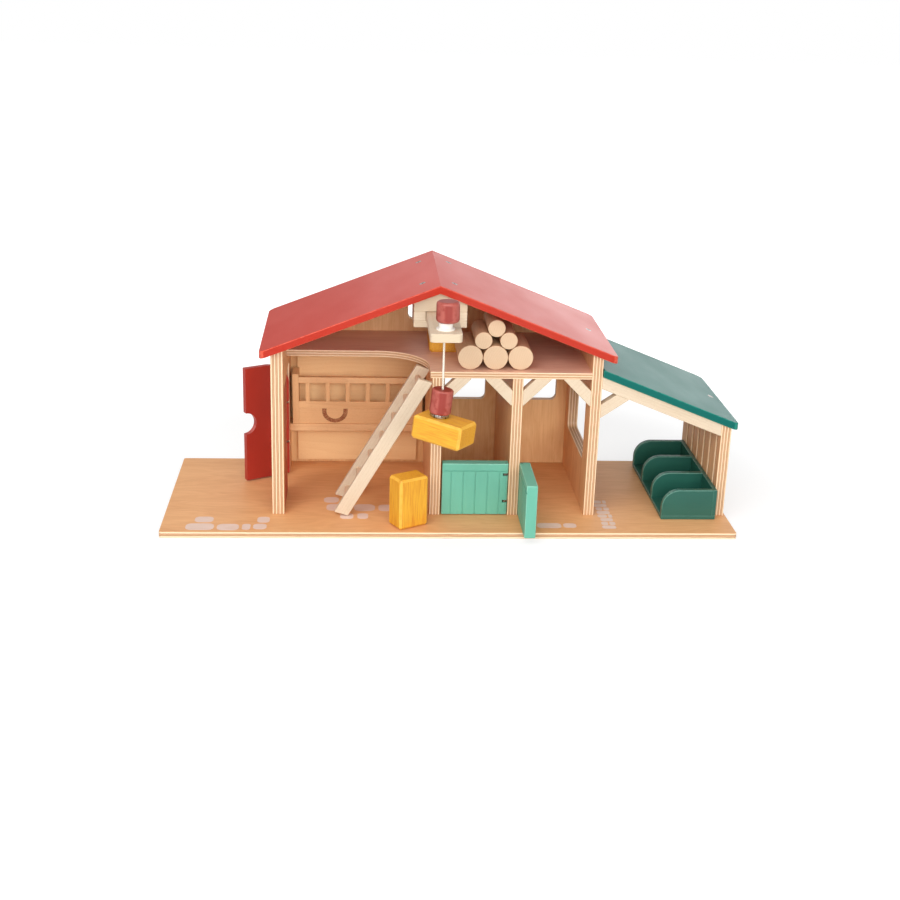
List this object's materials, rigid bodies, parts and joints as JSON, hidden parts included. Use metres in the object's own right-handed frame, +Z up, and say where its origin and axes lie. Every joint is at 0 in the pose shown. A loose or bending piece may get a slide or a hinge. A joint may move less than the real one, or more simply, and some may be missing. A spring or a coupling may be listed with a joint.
{
  "type": "toy barn",
  "caption": "Wooden toy barn on a base board, with a loft, a lean-to, opening side doors and stall gates, a sliding crane with a magnetic load, a ladder and loose fittings.",
  "frame": {"origin": "centre of the base board's underside", "axes": "+Z up; +X along the open front towards the lean-to; the open front faces -Y"},
  "size_m": [0.564, 0.2521, 0.2398],
  "materials": {
    "base_board": "printed plywood, satin",
    "walls": "birch plywood with striped edges, satin",
    "back_board": "plywood, satin",
    "loft": "plywood, satin",
    "red_roof": "painted, satin",
    "green_roof": "painted, satin",
    "pale_wood": "bare pale wood",
    "dowels": "bare wood",
    "rack_wood": "bare wood",
    "door_red": "painted, satin",
    "gate_green": "painted, satin",
    "pen_green": "painted, satin",
    "bale_yellow": "painted, satin",
    "crimson": "painted, satin",
    "bushing_white": "satin",
    "cord": "braided",
    "magnet_steel": "bright plated",
    "hinge_steel": "satin",
    "screw_steel": "dark"
  },
  "bodies": {
    "barn": {"base_board": "base_board", "left_wall": "walls", "left_divider": "walls", "middle_divider": "walls", "right_wall": "walls", "back_wall": "back_board", "loft_floor": "loft", "red_roof_left": "red_roof", "red_roof_right": "red_roof", "lean_to_roof": "green_roof", "lean_to_wall": "walls", "lean_to_beam": "pale_wood", "lean_to_brace": "pale_wood", "stall_braces": "pale_wood", "ridge_beam": "pale_wood", "crane_spacers": "pale_wood", "crane_board": "pale_wood", "roof_screws": "screw_steel", "door_hinge_eyes": "hinge_steel", "gate_hinge_eyes": "hinge_steel", "rack_cheek_left": "rack_wood", "rack_cheek_right": "rack_wood", "rack_top_rail": "rack_wood", "rack_slats": "rack_wood", "rack_lower_rail": "rack_wood", "rack_board": "rack_wood", "rack_ledge": "rack_wood", "rack_back": "rack_wood"},
    "rear_door": {"rear_door": "door_red", "rear_door_pin": "hinge_steel"},
    "front_door": {"front_door": "door_red", "front_door_pin": "hinge_steel"},
    "left_gate": {"left_gate": "gate_green", "left_gate_pin": "hinge_steel"},
    "right_gate": {"right_gate": "gate_green", "right_gate_pin": "hinge_steel"},
    "crane_arm": {"crane_arm": "pale_wood", "crane_bushing": "bushing_white"},
    "hoist_line": {"lift_knob": "crimson", "hoist_cord": "cord", "magnet_weight": "crimson", "magnet": "magnet_steel"},
    "hoisted_bale": {"hoisted_bale": "bale_yellow", "strike_disc": "magnet_steel"},
    "ladder": {"ladder_front_rail": "pale_wood", "ladder_rear_rail": "pale_wood", "ladder_rungs": "dowels"},
    "floor_bale": {"floor_bale": "bale_yellow"},
    "loft_bale": {"loft_bale": "bale_yellow"},
    "feed_pen": {"pen_floor": "pen_green", "pen_back": "pen_green", "pen_dividers": "pen_green"},
    "log_left": {"log_left": "dowels"},
    "log_middle": {"log_middle": "dowels"},
    "log_right": {"log_right": "dowels"},
    "log_upper_left": {"log_upper_left": "dowels"},
    "log_upper_right": {"log_upper_right": "dowels"},
    "log_top": {"log_top": "dowels"}
  },
  "joints": [
    {"name": "rear_door_hinge", "type": "hinge", "parent": "barn", "child": "rear_door", "pos_m": [-0.166, 0.05755, 0.0676], "axis": [0, 0, -1], "range_deg": [-60, 30]},
    {"name": "front_door_hinge", "type": "hinge", "parent": "barn", "child": "front_door", "pos_m": [-0.166, -0.03885, 0.0676], "axis": [0, 0, 1], "range_deg": [0, 90]},
    {"name": "left_gate_hinge", "type": "hinge", "parent": "barn", "child": "left_gate", "pos_m": [0.055, -0.05445, 0.03375], "axis": [0, 0, 1], "range_deg": [0, 90]},
    {"name": "right_gate_hinge", "type": "hinge", "parent": "barn", "child": "right_gate", "pos_m": [0.0713, -0.05445, 0.03375], "axis": [0, 0, -1], "range_deg": [-90, 0]},
    {"name": "crane_arm_slide", "type": "slide", "parent": "barn", "child": "crane_arm", "axis": [0, 1, 0], "range_m": [0, 0.03]},
    {"name": "hoist_slide", "type": "slide", "parent": "crane_arm", "child": "hoist_line", "axis": [0, 0, 1], "range_m": [0, 0.042]},
    {"name": "hoisted_bale_release", "type": "slide", "parent": "hoist_line", "child": "hoisted_bale", "axis": [-0.1045, 0, -0.9945], "range_m": [0, 0.03]},
    {"name": "ladder_move", "type": "slide", "parent": "barn", "child": "ladder", "axis": [-1, 0, 0], "range_m": [0, 0.04]},
    {"name": "floor_bale_lift", "type": "slide", "parent": "barn", "child": "floor_bale", "axis": [0, 0, 1], "range_m": [0, 0.04]},
    {"name": "loft_bale_move", "type": "slide", "parent": "barn", "child": "loft_bale", "axis": [-1, 0, 0], "range_m": [0, 0.06]},
    {"name": "feed_pen_move", "type": "slide", "parent": "barn", "child": "feed_pen", "axis": [0, -1, 0], "range_m": [0, 0.12]},
    {"name": "log_left_move", "type": "slide", "parent": "barn", "child": "log_left", "axis": [0, -1, 0], "range_m": [0, 0.03]},
    {"name": "log_middle_move", "type": "slide", "parent": "barn", "child": "log_middle", "axis": [0, -1, 0], "range_m": [0, 0.03]},
    {"name": "log_right_move", "type": "slide", "parent": "barn", "child": "log_right", "axis": [0, -1, 0], "range_m": [0, 0.03]},
    {"name": "log_upper_left_move", "type": "slide", "parent": "barn", "child": "log_upper_left", "axis": [0, -1, 0], "range_m": [0, 0.03]},
    {"name": "log_upper_right_move", "type": "slide", "parent": "barn", "child": "log_upper_right", "axis": [0, -1, 0], "range_m": [0, 0.03]},
    {"name": "log_top_move", "type": "slide", "parent": "barn", "child": "log_top", "axis": [0, -1, 0], "range_m": [0, 0.03]}
  ]
}
